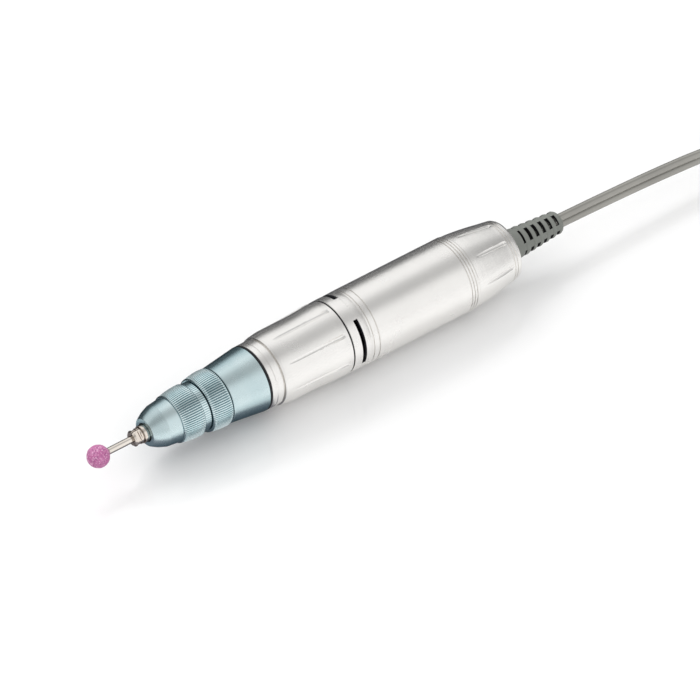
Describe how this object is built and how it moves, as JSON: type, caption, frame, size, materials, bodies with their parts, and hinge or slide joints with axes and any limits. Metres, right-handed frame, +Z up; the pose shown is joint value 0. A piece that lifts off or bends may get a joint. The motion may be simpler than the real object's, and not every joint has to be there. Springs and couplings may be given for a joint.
{
  "type": "dental micromotor handpiece",
  "caption": "Pen-shaped laboratory micromotor handpiece with a collet chuck, a grinding stone, a vented motor barrel and a tied cord that ends in a round plug.",
  "frame": {"origin": "on the table, under the middle of the handpiece (without its cord), which lies on its barrel", "axes": "+X along the spindle axis, from the stone towards the cord; +Z up from the table; +Y completes a right-handed frame"},
  "size_m": [0.4982, 0.0387, 0.0266],
  "materials": {
    "pink_corundum": "coarse bonded grain",
    "polished_steel": "polished",
    "chuck_steel": "fine turned",
    "blue_anodised": "satin blasted, pale blue anodised",
    "silver_satin": "satin blasted",
    "housing_aluminium": "turned",
    "black_rubber": "matte",
    "felt": "pressed",
    "bearing_steel": "ground",
    "spring_steel": "drawn",
    "can_steel": "plated",
    "magnet_ceramic": "pressed",
    "core_steel": "stacked sheets",
    "copper": "enamelled wire",
    "commutator_copper": "turned",
    "fan_plastic": "moulded",
    "card_plastic": "moulded",
    "carbon": "pressed",
    "screw_steel": "plated",
    "board_laminate": "laminate",
    "wire_insulation": "extruded",
    "relief_grey": "moulded, matte",
    "cord_grey": "extruded, silky",
    "tie_black": "woven hook tape",
    "plug_grey": "moulded",
    "plug_metal": "nickel plated",
    "plug_insulator": "moulded",
    "contact_gold": "gold plated"
  },
  "bodies": {
    "handpiece": {"nose_cone": "blue_anodised", "nose_seal": "felt", "head_housing": "housing_aluminium", "front_knurl_ring": "blue_anodised", "taper_sleeve": "blue_anodised", "sleeve_gasket": "black_rubber", "front_grip": "silver_satin", "seam_ring": "black_rubber", "vent_ring": "silver_satin", "motor_barrel": "silver_satin", "motor_can": "can_steel", "magnets": "magnet_ceramic", "motor_front_plate": "housing_aluminium", "brush_card": "card_plastic", "motor_rear_plate": "housing_aluminium", "plate_screws": "screw_steel", "terminal_board": "board_laminate", "lead_wires": "wire_insulation", "rear_cap": "silver_satin", "strain_relief": "relief_grey", "spindle_bearing_outers": "bearing_steel", "motor_bearing_outers": "bearing_steel", "upper_brush_spring": "spring_steel", "lower_brush_spring": "spring_steel", "cord_lead": "cord_grey", "cord_hank": "cord_grey", "hank_tie": "tie_black", "cord_tail": "cord_grey", "plug_boot": "plug_grey", "plug_body": "plug_grey", "plug_shell": "plug_metal", "plug_insert": "plug_insulator", "plug_pins": "contact_gold"},
    "rotor": {"motor_shaft": "bearing_steel", "armature_core": "core_steel", "windings": "copper", "commutator": "commutator_copper", "motor_dog": "chuck_steel", "cooling_fan": "fan_plastic", "motor_bearing_inners": "bearing_steel", "motor_bearing_balls": "bearing_steel"},
    "spindle": {"spindle": "chuck_steel", "spindle_nut": "chuck_steel", "spindle_dog": "chuck_steel", "spindle_bearing_inners": "bearing_steel", "spindle_bearing_balls": "bearing_steel", "collet_spring": "spring_steel"},
    "chuck": {"collet": "chuck_steel", "draw_bar": "chuck_steel", "thrust_collar": "chuck_steel", "cross_pin": "bearing_steel"},
    "tool": {"stone_head": "pink_corundum", "stone_shank": "polished_steel"},
    "release_slider": {"release_slider": "chuck_steel", "release_pins": "bearing_steel"},
    "release_ring": {"release_ring": "blue_anodised"},
    "upper_brush": {"upper_brush": "carbon"},
    "lower_brush": {"lower_brush": "carbon"},
    "plug_ring": {"plug_lock_ring": "plug_metal"}
  },
  "joints": [
    {"name": "rotor_spin", "type": "hinge", "parent": "handpiece", "child": "rotor", "pos_m": [0, 0, 0.0133], "axis": [1, 0, 0], "continuous": true},
    {"name": "spindle_spin", "type": "hinge", "parent": "handpiece", "child": "spindle", "pos_m": [0, 0, 0.0133], "axis": [1, 0, 0], "continuous": true},
    {"name": "release_turn", "type": "hinge", "parent": "handpiece", "child": "release_ring", "pos_m": [0, 0, 0.0133], "axis": [1, 0, 0], "range_deg": [0, 60]},
    {"name": "slider_slide", "type": "slide", "parent": "handpiece", "child": "release_slider", "axis": [-1, 0, 0], "range_m": [0, 0.0008]},
    {"name": "collet_slide", "type": "slide", "parent": "spindle", "child": "chuck", "axis": [-1, 0, 0], "range_m": [0, 0.0008], "deforming": ["collet_spring"]},
    {"name": "tool_pull", "type": "slide", "parent": "chuck", "child": "tool", "axis": [-1, 0, 0], "range_m": [0, 0.03]},
    {"name": "upper_brush_slide", "type": "slide", "parent": "handpiece", "child": "upper_brush", "axis": [0, 0, 1], "range_m": [0, 0.0015], "stiffness_N_per_m": 60, "springref_m": -0.004, "deforming": ["upper_brush_spring"]},
    {"name": "lower_brush_slide", "type": "slide", "parent": "handpiece", "child": "lower_brush", "axis": [0, 0, -1], "range_m": [0, 0.0015], "stiffness_N_per_m": 60, "springref_m": -0.004, "deforming": ["lower_brush_spring"]},
    {"name": "plug_ring_turn", "type": "hinge", "parent": "handpiece", "child": "plug_ring", "pos_m": [0.38615, -0.0116, 0.0078], "axis": [1, 0, 0], "continuous": true}
  ],
  "couplings": [
    {"joint": "spindle_spin", "follows": "rotor_spin", "ratio": 1},
    {"joint": "slider_slide", "follows": "release_turn", "m_per_rad": 0.00076394},
    {"joint": "collet_slide", "follows": "release_turn", "m_per_rad": 0.00076394}
  ]
}
